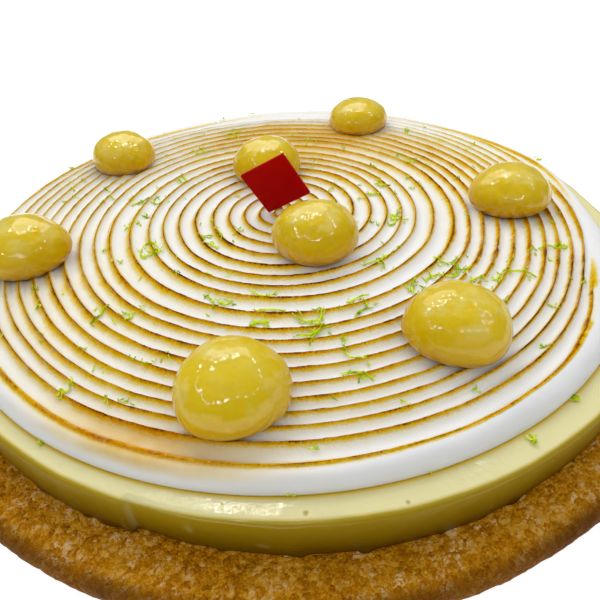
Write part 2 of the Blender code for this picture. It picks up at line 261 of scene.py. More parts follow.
def noise_at(points, size, seed):
    """Smooth noise from -1 to 1 at each point, with lumps of about this size in metres."""
    place = points / size + 11.37 * seed
    cell = np.floor(place).astype(np.int64)
    part = place - cell
    part = part * part * (3 - 2 * part)
    total = np.zeros(len(points))
    for corner in itertools.product((0, 1), repeat=3):
        key = cell + np.array(corner)
        mixed = (key[:, 0] * 73856093) ^ (key[:, 1] * 19349663) ^ (key[:, 2] * 83492791)
        mixed = ((mixed ^ (mixed >> 13)) * 1274126177) & 0x7FFFFFFF
        value = ((mixed ^ (mixed >> 15)) & 0xFFFF) / 32767.5 - 1
        total += value * np.prod(np.where(np.array(corner), part, 1 - part), axis=1)
    return total


def layered_noise(points, size, seed):
    """Noise with two finer and weaker layers added."""
    return sum(noise_at(points, size / 2 ** layer, seed + layer) / 2 ** layer for layer in range(3))


def smooth_step(low, high, value):
    share = np.clip((value - low) / (high - low), 0.0, 1.0)
    return share * share * (3 - 2 * share)


def towards(angle):
    return np.array((math.cos(angle), math.sin(angle)))


def back_share(angle):
    """How much of the back's drawing in applies here: 0 along the front, 1 round the back."""
    return smooth_step(BACK_STARTS_AT, BACK_COMPLETE_AT, np.sin(angle))


def rim_radius(angle):
    """The meringue rim's radius, which is flatter at the back left."""
    flat = np.maximum(0.0, np.cos(angle - RIM_FLAT_ANGLE)) ** 4
    return RIM_RADIUS - RIM_BACK_DRAWN_IN * back_share(angle) - RIM_FLAT * flat


def add_object(name, data):
    made = bpy.data.objects.new(name, data)
    bpy.context.scene.collection.objects.link(made)
    return made


def mesh_object(name, points, faces, material, attributes=None, nodes=()):
    """A smooth mesh piece that rides on the root body, with named point attributes."""
    mesh = bpy.data.meshes.new(name)
    mesh.from_pydata(np.asarray(points).tolist(), [], faces)
    for label, values in (attributes or {}).items():
        layer = mesh.attributes.new(label, 'FLOAT', 'POINT')
        layer.data.foreach_set("value", np.asarray(values, dtype=np.float32))
    shape = bmesh.new()
    shape.from_mesh(mesh)
    bmesh.ops.recalc_face_normals(shape, faces=shape.faces)
    shape.to_mesh(mesh)
    shape.free()
    mesh.shade_smooth()
    mesh.materials.append(material)
    piece = add_object(name, mesh)
    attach(piece, "root")
    if nodes:
        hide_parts(*nodes)
    return piece


class Nodes:
    """Short calls for building a node tree."""

    def __init__(self, tree):
        self.tree = tree

    def join(self, source, target):
        """Link a node's output to a socket, or put a plain number or colour straight on it."""
        if hasattr(source, "is_linked"):
            self.tree.links.new(source, target)
        else:
            target.default_value = source

    def node(self, kind, sockets=None, **settings):
        """The outputs of a new node with these settings and inputs."""
        made = self.tree.nodes.new(kind)
        for key, value in settings.items():
            setattr(made, key, value)
        for key, value in (sockets or {}).items():
            self.join(value, made.inputs[key])
        return made.outputs


class Shader(Nodes):
    """One Principled material, and what its colours and bumps are made of."""

    def __init__(self, name):
        self.material = bpy.data.materials.new(name)
        self.material.use_nodes = True
        super().__init__(self.material.node_tree)
        self.surface = self.tree.nodes["Principled BSDF"]
        self.place = self.node("ShaderNodeTexCoord")["Object"]

    def attribute(self, name):
        return self.node("ShaderNodeAttribute", attribute_name=name)["Fac"]

    def noise(self, scale, detail, rough):
        sockets = {"Vector": self.place, "Scale": scale, "Detail": detail, "Roughness": rough}
        return self.node("ShaderNodeTexNoise", sockets)["Fac"]

    def flakes(self, scale, ragged):
        """A random value for each irregular flake, and the distance from its middle."""
        wobble = self.node("ShaderNodeTexNoise", {"Vector": self.place, "Scale": 1.4 * scale})["Color"]
        offset = self.node("ShaderNodeVectorMath", {0: wobble, "Scale": 2 * ragged}, operation='SCALE')[0]
        moved = self.node("ShaderNodeVectorMath", {0: self.place, 1: offset}, operation='ADD')[0]
        cells = self.node("ShaderNodeTexVoronoi", {"Vector": moved, "Scale": scale})
        return self.plus(cells["Color"], 0.0), cells["Distance"]

    def math(self, operation, *values, clamp=False):
        return self.node("ShaderNodeMath", dict(enumerate(values)), operation=operation, use_clamp=clamp)[0]

    plus = functools.partialmethod(math, 'ADD')
    less = functools.partialmethod(math, 'SUBTRACT')
    times = functools.partialmethod(math, 'MULTIPLY')

    def ramp(self, factor, stops):
        """A colour for each value of the factor, straight between the stops."""
        node = self.tree.nodes.new("ShaderNodeValToRGB")
        elements = node.color_ramp.elements
        while len(elements) < len(stops):
            elements.new(0.5)
        for element, (place, colour) in zip(elements, stops):
            element.position = place
            element.color = (*colour, 1.0)
        self.join(factor, node.inputs["Fac"])
        return node.outputs["Color"]

    def rise(self, factor, start, end, low=0.0, high=1.0):
        """A value that goes from low to high as the factor goes from start to end."""
        return self.ramp(factor, ((start, (low, low, low)), (end, (high, high, high))))

    def mix(self, factor, low, high, blend='MIX'):
        low, high = ((*value, 1.0) if isinstance(value, tuple) else value for value in (low, high))
        sockets = {"Factor": factor, "A": low, "B": high}
        return self.node("ShaderNodeMix", sockets, data_type='RGBA', blend_type=blend)["Result"]

    def bump(self, height, distance, strength=1.0, target="Normal"):
        sockets = {"Height": height, "Distance": distance, "Strength": strength}
        self.join(self.node("ShaderNodeBump", sockets)["Normal"], self.surface.inputs[target])

    def set(self, **values):
        for key, value in values.items():
            self.join(value, self.surface.inputs[key.replace("_", " ")])


def meringue_material():
    """White foam whose toast and blush come from the mesh's attributes, wet where it is browned."""
    shader = Shader("torched_meringue")
    grain = shader.noise(1700, 3, 0.65)
    patch = shader.noise(330, 3, 0.6)
    uneven = shader.plus(shader.times(shader.less(grain, 0.5), 1.2), shader.times(patch, 0.6))
    toast = shader.times(shader.attribute("toast"), shader.plus(uneven, 0.66), clamp=True)
    browned = shader.ramp(toast, TOAST_RAMP)
    spots = shader.plus(shader.noise(180, 4, 0.6), 0.40)
    tint = shader.ramp(shader.times(shader.attribute("blush"), spots, clamp=True), BLUSH_RAMP)
    shader.set(Base_Color=shader.mix(1.0, browned, tint, 'MULTIPLY'), Roughness=0.46)
    wet_patch = shader.rise(shader.noise(210, 2, 0.5), 0.50, 0.58, 0.02)
    wet_crest = shader.rise(toast, 0.12, 0.30, 0.01, 0.65)
    shader.set(Coat_Weight=shader.times(wet_patch, wet_crest, clamp=True))
    shader.set(Specular_IOR_Level=0.02, Coat_Roughness=0.06, Subsurface_Weight=0.08, Subsurface_Scale=0.002)
    shader.set(Subsurface_Radius=(1.0, 0.75, 0.45))
    shader.bump(shader.times(shader.plus(grain, patch), shader.plus(shader.times(toast, 0.9), 0.05)), 0.0006)
    shader.bump(grain, 0.00004, 1.0, "Coat Normal")
    return shader.material


def cream_material():
    """Set lemon cream, wet on its ledge, with painted light making the ledge pale and painted shade deepening
    the yellow down its side.
    """
    shader = Shader("lemon_cream")
    soft = shader.noise(90, 3, 0.5)
    fine = shader.noise(1100, 2, 0.5)
    # Painted light and shade by how far down the cream a point lies: a pale ledge and a side darkening to the
    # foot
    depth = shader.plus(shader.attribute("depth"), shader.times(shader.less(soft, 0.5), 0.10))
    colour = shader.ramp(depth, CREAM_LIGHT_AND_SHADE_RAMP)
    # Paler in scuffs streaked down the side, and a painted highlight along the crease
    colour = shader.mix(shader.times(shader.attribute("scuffs_and_crease_highlight"), 0.42), colour, SCUFF_AND_HIGHLIGHT_COLOUR)
    colour = shader.mix(shader.attribute("seam"), colour, SEAM_COLOUR)
    moist = shader.rise(depth, 0.05, 0.35, 0.12, 0.05)
    wet = shader.plus(moist, shader.attribute("wet"), clamp=True)
    pits = None
    for angle, radius, height, size in CREAM_PITS:
        middle = (*(radius * towards(math.radians(angle))), height)
        away = shader.node("ShaderNodeVectorMath", {0: shader.place, 1: middle}, operation='DISTANCE')
        pit = shader.less(1.25, shader.math('DIVIDE', away["Value"], size), clamp=True)
        pits = pit if pits is None else shader.math('MAXIMUM', pits, pit)
    # The bubble holes are darkened with painted shade
    shader.set(Base_Color=shader.mix(pits, colour, BUBBLE_SHADE_COLOUR))
    shader.set(Roughness=0.36, Specular_IOR_Level=0.10, Coat_Weight=wet, Coat_Roughness=0.05)
    shader.set(Subsurface_Weight=0.08, Subsurface_Scale=0.002, Subsurface_Radius=(1.0, 0.8, 0.2))
    crinkled = shader.rise(shader.noise(120, 2, 0.5), 0.42, 0.55, 0.25)
    crinkles = shader.times(shader.noise(1800, 2, 0.5), shader.times(crinkled, 0.040))
    gentle = shader.less(shader.plus(soft, shader.times(fine, 0.05)), shader.times(pits, 0.15))
    shader.bump(gentle, 0.0012)
    shader.bump(shader.plus(shader.times(gentle, 0.3), crinkles), 0.0012, 1.0, "Coat Normal")
    return shader.material


def crust_material():
    """Baked shortbread crumb with pale specks, dark pits and a browner edge."""
    shader = Shader("shortbread")
    broad = shader.noise(60, 4, 0.6)
    flakes, flake_slope = shader.flakes(850, 0.00040)
    grain, grain_slope = shader.flakes(1900, 0.00022)
    dust = shader.noise(2600, 2, 0.6)
    crumb = shader.plus(shader.times(flakes, 0.55), shader.times(grain, 0.45))
    base = shader.ramp(shader.plus(shader.times(broad, 0.45), shader.times(crumb, 0.55)), CRUST_RAMP)
    pale = shader.times(shader.attribute("speck"), shader.rise(crumb, 0.46, 0.56, 0.0, 0.9), clamp=True)
    speckled = shader.mix(pale, base, SPECK_COLOUR)
    pitted = shader.mix(shader.times(shader.attribute("pit"), 0.35, clamp=True), speckled, PIT_COLOUR)
    edge = shader.times(shader.attribute("edge"), shader.plus(broad, 0.25), clamp=True)
    shader.set(Base_Color=shader.mix(edge, pitted, BAKED_EDGE_COLOUR), Roughness=0.65)
    shader.set(Specular_IOR_Level=0.08)
    slopes = shader.plus(shader.times(flake_slope, 0.9), shader.times(grain_slope, 0.45))
    shader.bump(shader.less(shader.plus(crumb, shader.times(dust, 0.3)), slopes), 0.0007)
    return shader.material


def curd_material():
    """Wet amber curd with swirled tone, pale patches of painted reflection on top, and a darker foot."""
    shader = Shader("lemon_curd")
    swirl = shader.noise(170, 3, 0.6)
    spots = shader.noise(420, 2, 0.5)
    colour = shader.ramp(
        shader.plus(shader.attribute("height"), shader.times(shader.less(swirl, 0.5), 0.55)), CURD_RAMP)
    # Pale patches of painted reflection, on the upper part of each drop only
    reflection_patch = shader.rise(shader.noise(150, 3, 0.55), 0.50, 0.60, 0.0, 0.55)
    upper = shader.rise(shader.attribute("height"), 0.45, 0.85)
    with_reflection_patches = shader.mix(shader.times(reflection_patch, upper), colour, REFLECTION_PATCH_COLOUR)
    yolky = shader.rise(spots, 0.60, 0.68, 0.0, 0.6)
    shader.set(Base_Color=shader.mix(yolky, with_reflection_patches, YOLK_COLOUR), Roughness=0.30)
    shader.set(Specular_IOR_Level=0.04, Coat_Weight=0.9, Coat_Roughness=0.03)
    shader.set(Subsurface_Weight=0.12, Subsurface_Scale=0.003, Subsurface_Radius=(1.0, 0.7, 0.08))
    wrinkled = shader.rise(shader.noise(150, 2, 0.5), 0.42, 0.52, 0.006, 0.036)
    wrinkles = shader.times(shader.noise(1400, 1, 0.5), wrinkled)
    dents = shader.noise(230, 2, 0.5)
    shader.bump(dents, 0.0009, 0.7)
    shader.bump(shader.plus(shader.times(dents, 0.25), wrinkles), 0.0009, 1.0, "Coat Normal")
    return shader.material


def plaque_material():
    """Bare satin red."""
    shader = Shader("red_plaque")
    colour = shader.ramp(shader.noise(240, 3, 0.5), RED_RAMP)
    shader.set(Base_Color=colour, Roughness=0.5, Specular_IOR_Level=0.05)
    shader.bump(shader.noise(2600, 2, 0.5), 0.0001, 0.4)
    return shader.material


def zest_material():
    """Moist green peel, yellower in places."""
    shader = Shader("lime_zest")
    colour = shader.ramp(shader.noise(330, 3, 0.6), ZEST_RAMP)
    shader.set(Base_Color=colour, Roughness=0.45, Specular_IOR_Level=0.12)
    shader.bump(shader.noise(3200, 2, 0.5), 0.0001, 0.5)
    return shader.material


def fan(faces, ring, middle):
    for step, vertex in enumerate(ring):
        faces.append((vertex, ring[(step + 1) % len(ring)], middle))


def turned_grid(outline, spokes):
    """An outline's radii and heights, each repeated along every spoke, and the spokes' angles."""
    radii, heights = (np.repeat(np.array(column)[:, None], spokes, axis=1) for column in zip(*outline))
    return radii, heights, np.arange(spokes) * FULL_TURN / spokes


def ring_points(radii, heights, centre):
    """The grid's points as one array."""
    angles = np.arange(radii.shape[1]) * FULL_TURN / radii.shape[1]
    x = centre[0] + radii * np.cos(angles)
    y = centre[1] + radii * np.sin(angles)
    return np.stack((x, y, heights), axis=-1).reshape(-1, 3)


def lathe(name, radii, heights, centre, material, attributes, nodes):
    """A round piece from grids of radii and heights, each with a row for every ring, bottom to top."""
    levels, spokes = radii.shape
    points = ring_points(radii, heights, centre)
    points = np.vstack((points, points[:spokes].mean(axis=0), points[-spokes:].mean(axis=0)))
    faces = []
    for level in range(levels - 1):
        for step in range(spokes):
            here = level * spokes + step
            beside = level * spokes + (step + 1) % spokes
            faces.append((here, beside, beside + spokes, here + spokes))
    fan(faces, range(spokes), len(points) - 2)
    fan(faces, range((levels - 1) * spokes, levels * spokes), len(points) - 1)
    values = {label: np.append(grid, (grid[0, 0], grid[-1, -1])) for label, grid in attributes.items()}
    return mesh_object(name, points, faces, material, values, nodes)


def build_crust(material):
    """The shortbread round: flat underneath, crumbly on top and dark at its rounded edge."""
    middle = 0.5 * CRUST_TOP
    top_start = CRUST_RADIUS - 1.15 * CRUST_EDGE
    outline = [(0.100, 0.0), (CRUST_RADIUS - 0.8 * CRUST_EDGE, 0.0)]
    for step in range(1, CRUST_EDGE_STEPS):
        turn = math.pi * (step / CRUST_EDGE_STEPS - 0.5)
        bulge = abs(math.cos(turn)) ** 0.7
        outline.append((CRUST_RADIUS - CRUST_EDGE + CRUST_EDGE * bulge, middle + middle * math.sin(turn)))
    for step in range(CRUST_TOP_STEPS + 1):
        outline.append((top_start - FINE_STEP * step, CRUST_TOP))
    radii, heights, _ = turned_grid(outline, CRUST_SPOKES)
    points = ring_points(radii, heights, (0.0, 0.0))
    shape = radii.shape
    lumps = layered_noise(points, 0.0030, 3).reshape(shape)
    crumbs = noise_at(points, 0.0009, 8).reshape(shape)
    broad = noise_at(points, 0.022, 5).reshape(shape)
    on_top = smooth_step(0.55 * CRUST_TOP, 0.98 * CRUST_TOP, heights)
    on_side = 1 - smooth_step(0.0, CRUST_EDGE, CRUST_RADIUS - radii)
    off_floor = smooth_step(0.0, 0.25 * CRUST_TOP, heights)
    heights = heights - on_top * (0.00028 - 0.00022 * lumps - 0.00022 * crumbs)
    radii = radii + on_side * off_floor * (0.00012 * lumps + 0.00012 * crumbs + 0.0003 * broad)
    speck = smooth_step(0.10, 0.62, crumbs * 0.6 + lumps * 0.5 + 0.25 * broad) * on_top
    pit = smooth_step(0.42, 0.85, -(lumps * 0.7 + crumbs * 0.5))
    browner = np.maximum(1 - smooth_step(0.0010, 0.0046, CRUST_RADIUS - radii), 1 - on_top)
    return lathe("shortbread_crust", radii, heights, (0.0, 0.0), material,
                 {"speck": speck, "pit": pit, "edge": browner}, ("crust",))


def build_cream(material):
    """The disc of lemon cream, with a wet ledge, a rounded edge, a crease, bubbles and a ragged foot."""
    foot = CRUST_TOP - 0.0001
    side = CREAM_RADIUS - CREAM_SIDE_IN
    outline = [(0.095, foot)]
    for step in range(CREAM_SIDE_STEPS + 1):
        share = step / CREAM_SIDE_STEPS
        bulge = CREAM_SIDE_IN * math.sin(math.pi * share)
        outline.append((side + bulge, foot + share * (CREAM_TOP - CREAM_EDGE_DROP - foot)))
    for step in range(1, CREAM_EDGE_STEPS + 1):
        turn = 0.5 * math.pi * step / CREAM_EDGE_STEPS
        radius = side - CREAM_EDGE_WIDTH * (1 - math.cos(turn))
        outline.append((radius, CREAM_TOP - CREAM_EDGE_DROP * (1 - math.sin(turn))))
    for step in range(1, CREAM_LEDGE_STEPS + 1):
        outline.append((side - CREAM_EDGE_WIDTH - FINE_STEP * step, CREAM_TOP))
    radii, heights, angles = turned_grid(outline, CREAM_SPOKES)
    drawn_in = CREAM_BACK_DRAWN_IN * back_share(angles)
    radii = radii - drawn_in
    points = ring_points(radii, heights, CREAM_CENTRE)
    shape = radii.shape
    waves = noise_at(points * (1, 1, 0.4), 0.020, 2).reshape(shape)
    lumps = noise_at(points, 0.0032, 6).reshape(shape)
    ripple = noise_at(points * (1, 1, 0.2), 0.0055, 26).reshape(shape)
    streaks = layered_noise(points * (1, 1, 0.5), 0.0030, 36).reshape(shape)
    down = (CREAM_TOP - heights) / (CREAM_TOP - foot)
    on_side = smooth_step(0.0, 0.25, down)
    near_foot = smooth_step(0.84, 1.0, down)
    crease = np.clip((angles - math.radians(CREASE_ANGLE)) / math.radians(CREASE_LENGTH), 0.0, 1.0)
    past_crease = np.where((crease > 0) & (crease < 1), (1 - crease) ** 2, 0.0)
    at_rim = smooth_step(0.0035, 0.0010, CREAM_RADIUS - radii - drawn_in)
    radii = radii + 0.00035 * waves * on_side
    radii = radii - CREASE_DEPTH * past_crease * at_rim + 0.00016 * ripple * at_rim
    radii = radii + near_foot * (0.0013 * np.maximum(lumps - 0.35, 0) + 0.00012 * lumps)
    heights = heights - (1 - on_side) * 0.00014 * (1 + waves)
    # How far over the edge and down the side a point lies, which the material turns into painted light and
    # shade
    round_down = np.clip((radii - side + drawn_in + CREAM_EDGE_WIDTH) / CREAM_EDGE_WIDTH, 0.0, 1.0)
    depth = 0.30 * round_down + 0.70 * np.clip(down, 0.0, 1.0)
    foot_out = MERINGUE_RADIUS - MERINGUE_BACK_DRAWN_IN * back_share(angles) + nearness(angles, *EDGE_LOBE)
    from_foot = np.hypot(*(points[:, :2] - MERINGUE_CENTRE).T).reshape(shape)
    seam = np.exp(-((from_foot - foot_out - 0.0001) / 0.0005) ** 2) * (1 - on_side)
    # A painted highlight along the crease, and pale scuffs streaked down the side
    scuffs_and_crease_highlight = nearness(angles, *CREASE_HIGHLIGHT) * on_side * smooth_step(1.0, 0.75, down)
    scuffs_and_crease_highlight = np.maximum(scuffs_and_crease_highlight, 0.5 * smooth_step(0.80, 1.15, streaks) * on_side)
    wet = np.max([nearness(angles, *place) for place in WET_PLACES], axis=0)
    return lathe("cream_disc", radii, heights, CREAM_CENTRE, material,
                 {"depth": depth, "seam": seam, "scuffs_and_crease_highlight": scuffs_and_crease_highlight, "wet": wet * (1 - on_side)}, ("lemon_cream",))


def nearness(angle, middle, reach, most=1.0):
    """The most in the middle direction, in degrees, fading to 0 to both sides of it."""
    away = (angle - math.radians(middle) + math.pi) % FULL_TURN - math.pi
    return most * np.exp(-(away / math.radians(reach)) ** 2)


def edge_radius(angle):
    """Where the combed top ends and the wall starts. At the lobe the wall's foot spreads with it."""
    strayed = nearness(angle, *EDGE_OUT) - nearness(angle, *EDGE_DIP) + nearness(angle, *EDGE_LOBE)
    return rim_radius(angle) + strayed


def comb_push(ideal, angle):
    """How far the comb strayed outwards from a true spiral's radius."""
    radii, drifts = np.array(COMB_DRIFT).T / 1000
    pinch = nearness(angle, *PINCH) * smooth_step(PINCH_FROM, PINCH_TO, ideal)
    return np.interp(ideal, radii, drifts) * smooth_step(0.0, radii[0], ideal) - pinch


def polar(offset):
    return np.hypot(offset[:, 0], offset[:, 1]), np.arctan2(offset[:, 1], offset[:, 0]) % FULL_TURN


def spiral_phase(radius, angle):
    """How many ridges out from the centre a point lies, with each crest at a whole number."""
    ideal = radius.copy()
    for _ in range(30):
        ideal = 0.4 * ideal + 0.6 * (radius - comb_push(ideal, angle))
    return ideal / RIDGE_PITCH - ARMS * angle / FULL_TURN - SPIRAL_PHASE


def arm_strength(crest, angle):
    """1 for a ridge inside the last one, and 0 beyond it."""
    ideal = RIDGE_PITCH * (crest + ARMS * angle / FULL_TURN + SPIRAL_PHASE)
    return 1 - smooth_step(ARM_FADES_FROM, ARM_FADES_TO, ideal)


def ring_strength(angle):
    """1 round the back, where a crest follows the rim, and 0 along the front."""
    return smooth_step(-0.15, 0.35, np.sin(angle))


def ridge_profile(share):
    """How far below the crests the surface lies, for a share of the way from one crest to the next."""
    return RIDGE_DEPTH * (1 - np.abs(2 * share - 1) ** 2.6)


def shoulder(distance):
    """How far the surface sinks outside the last crest."""
    return SHOULDER_DROP * (1 - np.exp(-distance / SHOULDER_REACH))


def below_crest(offset):
    """How far below the crests the combed surface lies at each offset from the spiral's centre."""
    radius, angle = polar(offset)
    phase = spiral_phase(radius, angle)
    inner = np.floor(phase)
    share = phase - inner
    sunk = ridge_profile(share)
    outer_there = arm_strength(inner + 1, angle)
    inner_there = arm_strength(inner, angle)
    sunk = outer_there * sunk + (1 - outer_there) * shoulder(share * RIDGE_PITCH)
    sunk = inner_there * sunk + (1 - inner_there) * shoulder((share + 1) * RIDGE_PITCH)
    inside = np.maximum(edge_radius(angle) - radius, 0.0)
    ring = ridge_profile(np.minimum(inside / RIDGE_PITCH, 0.5))
    return sunk + ring_strength(angle) * (np.minimum(sunk, ring) - sunk)


def burnt(distance, toward_flame, strength, width, core):
    """The toast at a signed distance outwards from a crest: crisp on the lee side, spread on the other."""
    facing = np.maximum(0.0, toward_flame * np.sign(distance)) ** 0.7
    spread = LEE_SPREAD + FLAME_SPREAD * facing * np.where(distance > 0, 1.0, INNER_SHARE) * width
    reach = np.maximum(np.abs(distance) - core, 0.0) / spread
    return strength * np.where(distance > 0, np.interp(reach, *OUTER_FADE), np.interp(reach, *INNER_FADE))


def toast_at(offset, width, core):
    """How browned the surface is: the strongest of the toast from the crests on either side and the rim."""
    radius, angle = polar(offset)
    phase = spiral_phase(radius, angle)
    inner = np.floor(phase)
    facing = offset @ towards(FLAME_FROM) / radius
    share = phase - inner
    from_inner = burnt(share * RIDGE_PITCH + 1e-6, facing, arm_strength(inner, angle), width, core)
    from_outer = burnt((share - 1) * RIDGE_PITCH - 1e-6, facing, arm_strength(inner + 1, angle), width, core)
    from_ring = burnt(radius - edge_radius(angle), facing, ring_strength(angle), width, core)
    return np.maximum(np.maximum(from_inner, from_outer), from_ring)


def spoke_rows(turn):
    """Each row's key and radius along one spoke of the top, from the centre to the edge."""
    angle = FULL_TURN * turn
    edge = float(edge_radius(angle))
    start = 0.0006
    rows = [("centre", start)]
    count = TOP_ROWS_PER_RIDGE
    for row in range(-ARMS * count, RIDGES * count):
        even = (row % count) / count
        share = even - TOP_CROWDING * math.sin(FULL_TURN * even) / FULL_TURN
        ideal = RIDGE_PITCH * (row // count + share + ARMS * turn + SPIRAL_PHASE)
        radius = ideal + float(comb_push(ideal, angle))
        if ideal > 0 and start + 0.0001 < radius < edge - RIM_ROWS[0] - 0.0001:
            rows.append((row, radius))
    for number, inside in enumerate(RIM_ROWS):
        rows.append((f"rim_{number}", edge - inside))
    rows.append(("rim", edge))
    return rows


def stitch(faces, left, right):
    """Fill the strip between two spokes, given as (key, radius, vertex) from the centre out."""
    a = 0
    b = 0
    while (a, b) != (len(left) - 1, len(right) - 1):
        more_left = a + 1 < len(left)
        more_right = b + 1 < len(right)
        if more_left and more_right and left[a + 1][0] == right[b + 1][0]:
            faces.append((left[a][2], left[a + 1][2], right[b + 1][2], right[b][2]))
            a += 1
            b += 1
        elif more_left and (not more_right or left[a + 1][1] < right[b + 1][1]):
            faces.append((left[a][2], left[a + 1][2], right[b][2]))
            a += 1
        else:
            faces.append((left[a][2], right[b + 1][2], right[b][2]))
            b += 1


def drop_underside(offset, width, height):
    """The height of a drop's lower surface above its base, at each distance from its middle."""
    half = 0.5 * width
    away = np.linalg.norm(offset, axis=1) / half
    share = np.clip((away - DROP_BASE_SHARE) / (1 - DROP_BASE_SHARE), 0.0, 1.0)
    rise = DROP_WIDEST_AT * height * (1 - np.sqrt(1 - share ** 2))
    return np.where(away < 1.0, rise, 1.0)


def build_meringue(material):
    """The torched top: spiral ridges inside a smooth bulging wall."""
    flat = []
    walls = []
    spokes = []
    wall_share = []
    edge_of = []
    for step in range(TOP_SPOKES):
        turn = step / TOP_SPOKES
        angle = FULL_TURN * turn
        direction = towards(angle)
        spoke = []
        for key, radius in spoke_rows(turn):
            spoke.append((key, radius, len(flat)))
            edge_of.append(len(flat))
            flat.append((*(SPIRAL_CENTRE + direction * radius), CREST_HEIGHT))
            wall_share.append(0.0)
        spokes.append(spoke)
        rim = np.array(flat[-1][:2])
        foot_radius = MERINGUE_RADIUS - MERINGUE_BACK_DRAWN_IN * float(back_share(angle))
        foot = MERINGUE_CENTRE + direction * (foot_radius + float(nearness(angle, *EDGE_LOBE)))
        wall = [len(flat) - 1]
        for level in range(1, WALL_ROWS + 1):
            share = (level / WALL_ROWS) ** 1.5
            turned = 0.5 * math.pi * share
            out = rim + (foot - rim) * math.sin(turned)
            sunk = (CREST_HEIGHT - CREAM_TOP) * (1 - math.cos(turned))
            wall.append(len(flat))
            edge_of.append(wall[0])
            flat.append((*out, CREST_HEIGHT - sunk))
            wall_share.append(share)
        walls.append(wall)
    points = np.array(flat)
    share = np.array(wall_share)
    on_top = share == 0.0
    offset = points[:, :2] - SPIRAL_CENTRE
    radius, angle = polar(offset)
    outward = offset / radius[:, None]

    # Relief of the combed top, uneven along each ridge
    broad = noise_at(points, 0.014, 4)
    medium = noise_at(points, 0.0045, 9)
    fine = noise_at(points, 0.0012, 12)
    nick = smooth_step(0.62, 0.80, noise_at(points, 0.0030, 21))
    nick = nick * smooth_step(0.2, 0.5, noise_at(points, 0.03, 22))
    settle = smooth_step(0.0, 0.004, radius)
    sunk = below_crest(offset)
    smooth_band = nearness(angle, *BAND) * smooth_step(*BAND_START, radius)
    sunk = (sunk + smooth_band * (BAND_DEPTH - sunk))[edge_of]
    near_crest = 1 - smooth_step(0.0, 0.8 * RIDGE_DEPTH, sunk)
    lowered = near_crest * settle * (0.00022 * (1 - broad) + 0.00014 * (1 - medium) + 0.0008 * nick)
    lowered = sunk + lowered - near_crest * 0.00012 * fine - (1 - near_crest) * 0.00018 * broad
    points[on_top, 2] -= lowered[on_top]
    # The wall starts at the height of the edge beside it and has soft folds
    points[~on_top, 2] -= (lowered[edge_of] * (1 - share) ** 2)[~on_top]
    bulging = np.sin(math.pi * share)
    swell = 0.00035 * noise_at(points, 0.013, 15) * bulging
    folds = 0.00022 * noise_at(points * (1, 1, 2.5), 0.0045, 16) * bulging
    points[:, :2] += outward * (swell + folds)[:, None]
    # The crests wander a little from their smooth course
    level = points * (1, 1, 0)
    wander = 0.00045 * noise_at(level, 0.019, 31) + 0.00009 * noise_at(level, 0.005, 33)
    points[:, :2] += outward * (wander * settle * (1 - share))[:, None]

    # The drops press the ridges down
    for x, y, width, height in DROPS:
        away = points[:, :2] - np.array((x, y)) / 1000
        pressed = CREST_HEIGHT - DROP_SINK - 0.0001 + drop_underside(away, width / 1000, height / 1000)
        points[:, 2] = np.minimum(points[:, 2], pressed)

    # Toast lies on the crests, and spreads down their sides that faced the flame
    broad_left = nearness(angle, 215, 48) * smooth_step(0.040, 0.070, radius)
    broad_right = nearness(angle, 345, 42) * smooth_step(0.046, 0.064, radius)
    width = 0.60 + 0.62 * broad_left * (1 - 0.75 * smooth_step(0.084, 0.090, radius)) + 0.15 * broad_right
    core = 0.00005 + 0.00028 * broad_right + 0.00010 * (1 - smooth_step(0.024, 0.040, radius))
    width = width * (1 + 0.24 * broad + 0.24 * medium + 0.24 * fine)
    toast = toast_at(offset, np.maximum(width, 0.1), core * (1 + 0.6 * medium + 0.5 * fine))
    strength = 0.88 + 0.22 * noise_at(points, 0.020, 41) + 0.20 * noise_at(points, 0.006, 43)
    behind = nearness(angle, 80, 62)
    strength = strength * (1 - 0.85 * behind * smooth_step(0.072, 0.083, radius))
    strength = strength * (1 - 0.30 * behind * smooth_step(0.030, 0.060, radius))
    toast = (toast * strength * (1 - 0.85 * nick))[edge_of] * (1 - smooth_step(0.0, 0.12, share))
    toast = toast + FOOT_TOAST * smooth_step(0.980, 1.0, share)
    back = nearness(angle, 78, 42) * smooth_step(0.030, 0.060, radius)
    back = back * (1 - smooth_step(0.073, 0.083, radius))
    left = nearness(angle, 252, 13) * smooth_step(0.0885, 0.0935, radius)
    blush = left * (1 - smooth_step(0.25, 0.75, share)) + 0.75 * back * (0.7 + 0.3 * broad)

    faces = []
    top_middle = len(points)
    under_middle = top_middle + 1
    extra = np.array(((*SPIRAL_CENTRE, CREST_HEIGHT - 0.0004), (*MERINGUE_CENTRE, CREAM_TOP - 0.0002)))
    points = np.vstack((points, extra))
    for step in range(TOP_SPOKES):
        left_spoke = spokes[step]
        right_spoke = spokes[(step + 1) % TOP_SPOKES]
        if step + 1 == TOP_SPOKES:
            shift = ARMS * TOP_ROWS_PER_RIDGE
            right_spoke = [(key - shift if isinstance(key, int) else key, reach, vertex)
                           for key, reach, vertex in right_spoke]
        stitch(faces, left_spoke, right_spoke)
        faces.append((top_middle, left_spoke[0][2], right_spoke[0][2]))
        wall = walls[step]
        beside = walls[(step + 1) % TOP_SPOKES]
        for level in range(len(wall) - 1):
            faces.append((wall[level], wall[level + 1], beside[level + 1], beside[level]))
        faces.append((wall[-1], under_middle, beside[-1]))
    attributes = {"toast": np.append(toast, (0, 0)), "blush": np.append(blush, (0, 0))}
    return mesh_object("meringue_top", points, faces, material, attributes, ("meringue",))


